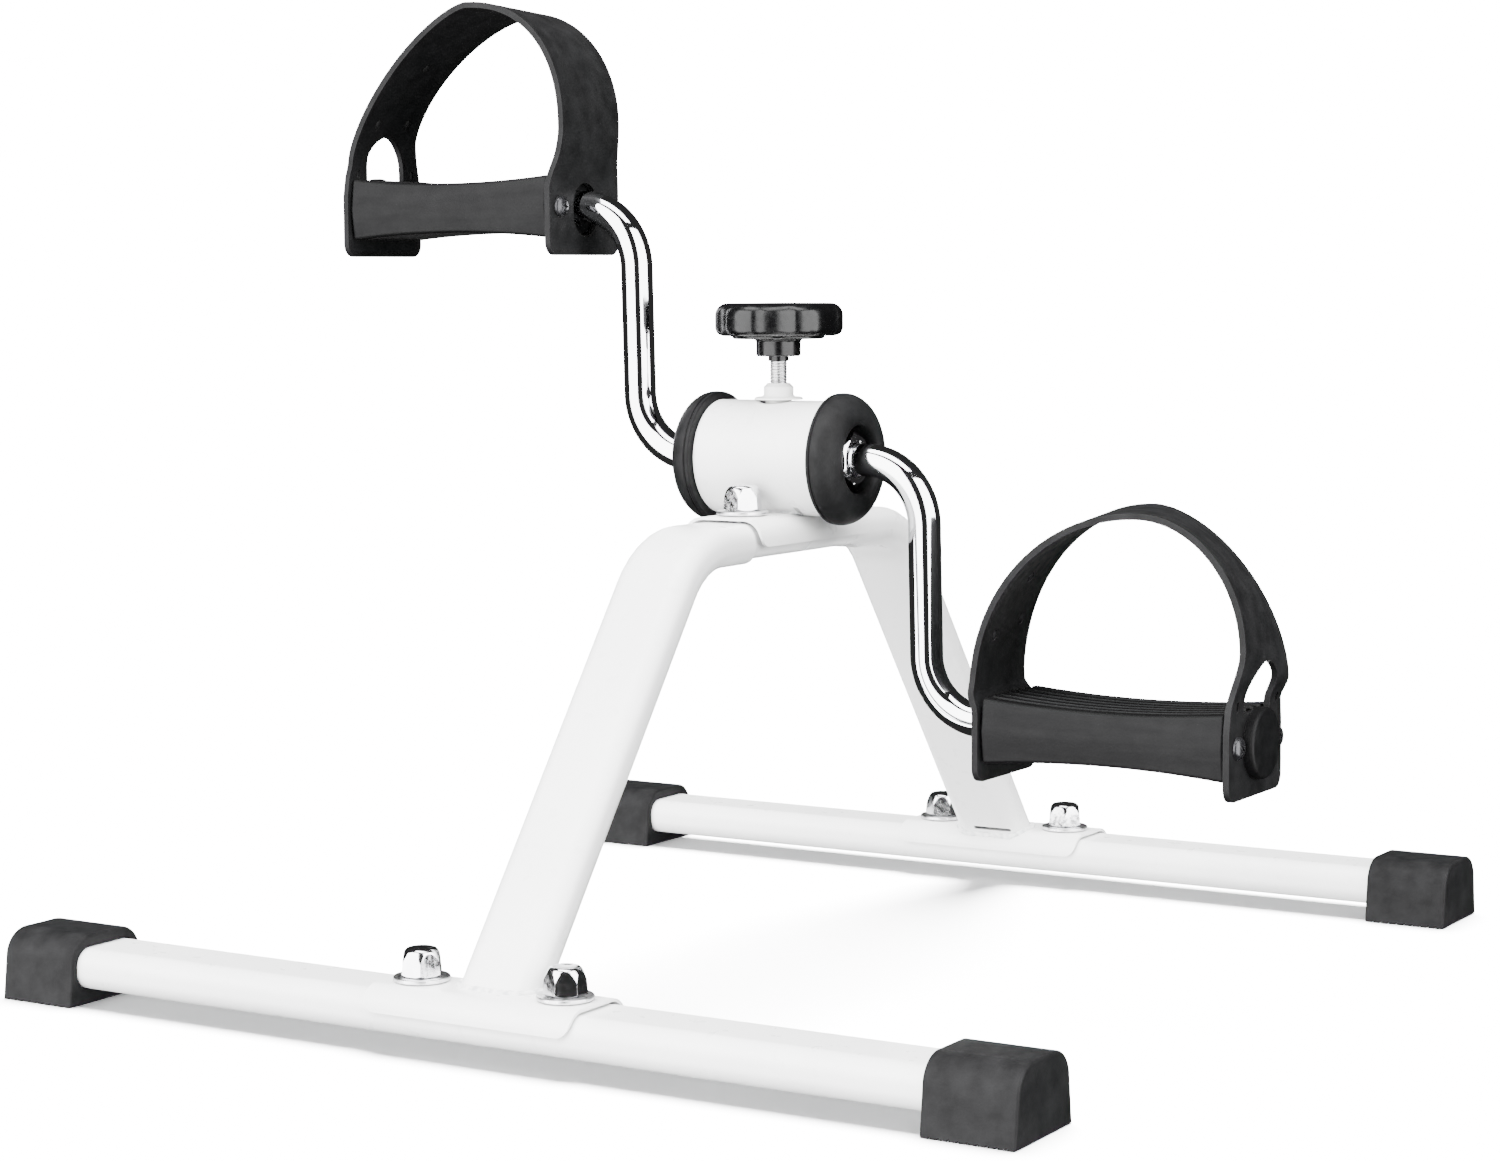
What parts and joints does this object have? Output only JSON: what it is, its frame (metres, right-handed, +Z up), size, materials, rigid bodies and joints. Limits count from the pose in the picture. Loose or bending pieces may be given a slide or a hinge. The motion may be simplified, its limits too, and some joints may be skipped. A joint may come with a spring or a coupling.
{
  "type": "pedal exerciser",
  "caption": "Floor-standing pedal exerciser: white bent-tube frame on flat-oval bars with rubber feet, a hub with chrome Z-bent cranks, strapped black pedals and a tension knob.",
  "frame": {"origin": "on the floor under the middle of the hub, at the centre of the base", "axes": "+X along the hub and the base bars, out of the right pedal's side; +Y from the front bar to the rear bar; +Z up"},
  "size_m": [0.4, 0.406, 0.3573],
  "materials": {
    "white_paint": "white gloss powder coat",
    "black_rubber": "black, satin",
    "black_plastic": "black, fine grain",
    "strap_plastic": "black, soft sheen",
    "knob_plastic": "black, glossy",
    "white_plastic": "white, satin",
    "chrome": "bright plated",
    "steel": "zinc plated",
    "black_steel": "black oxide",
    "felt": "dense grey felt"
  },
  "bodies": {
    "frame": {"front_base_bar": "white_paint", "rear_base_bar": "white_paint", "front_saddle": "white_paint", "rear_saddle": "white_paint", "front_leg": "white_paint", "rear_leg": "white_paint", "hub_bracket": "white_paint", "hub_housing": "white_paint", "front_left_foot_cap": "black_rubber", "front_right_foot_cap": "black_rubber", "rear_left_foot_cap": "black_rubber", "rear_right_foot_cap": "black_rubber", "front_left_base_stud": "steel", "front_right_base_stud": "steel", "rear_left_base_stud": "steel", "rear_right_base_stud": "steel", "front_bracket_stud": "steel", "rear_bracket_stud": "steel", "front_left_base_washer": "chrome", "front_right_base_washer": "chrome", "rear_left_base_washer": "chrome", "rear_right_base_washer": "chrome", "front_bracket_washer": "chrome", "rear_bracket_washer": "chrome", "front_left_base_nut": "chrome", "front_right_base_nut": "chrome", "rear_left_base_nut": "chrome", "rear_right_base_nut": "chrome", "front_bracket_nut": "chrome", "rear_bracket_nut": "chrome", "left_hub_cap": "black_rubber", "right_hub_cap": "black_rubber", "left_bearing_bush": "white_plastic", "right_bearing_bush": "white_plastic", "screw_bush": "white_plastic"},
    "brake_pad": {"brake_shoe": "steel", "brake_lining": "felt"},
    "knob": {"tension_screw": "steel", "tension_knob": "knob_plastic"},
    "crank": {"hub_spindle": "steel", "left_crank_arm": "chrome", "right_crank_arm": "chrome", "left_lock_nut": "chrome", "right_lock_nut": "chrome"},
    "left_pedal": {"left_pedal_block": "black_plastic", "left_pedal_strap": "strap_plastic", "left_rod_cap": "black_plastic", "left_rod_clip": "steel", "left_inner_front_screw": "black_steel", "left_inner_rear_screw": "black_steel", "left_outer_front_screw": "black_steel", "left_outer_rear_screw": "black_steel"},
    "right_pedal": {"right_pedal_block": "black_plastic", "right_pedal_strap": "strap_plastic", "right_rod_cap": "black_plastic", "right_rod_clip": "steel", "right_inner_front_screw": "black_steel", "right_inner_rear_screw": "black_steel", "right_outer_front_screw": "black_steel", "right_outer_rear_screw": "black_steel"}
  },
  "joints": [
    {"name": "crank_spin", "type": "hinge", "parent": "frame", "child": "crank", "pos_m": [0, 0, 0.1865], "axis": [1, 0, 0], "continuous": true},
    {"name": "left_pedal_spin", "type": "hinge", "parent": "crank", "child": "left_pedal", "pos_m": [-0.14, -0.00326, 0.27994], "axis": [1, 0, 0], "continuous": true},
    {"name": "right_pedal_spin", "type": "hinge", "parent": "crank", "child": "right_pedal", "pos_m": [0.14, 0.00326, 0.09306], "axis": [1, 0, 0], "continuous": true},
    {"name": "pad_travel", "type": "slide", "parent": "frame", "child": "brake_pad", "axis": [0, 0, 1], "range_m": [-0.00075, 0.002]},
    {"name": "knob_turn", "type": "hinge", "parent": "brake_pad", "child": "knob", "pos_m": [0, 0, 0.235], "axis": [0, 0, 1], "range_deg": [-270, 720]}
  ],
  "couplings": [
    {"joint": "knob_turn", "follows": "pad_travel", "rad_per_m": 6283.2}
  ]
}
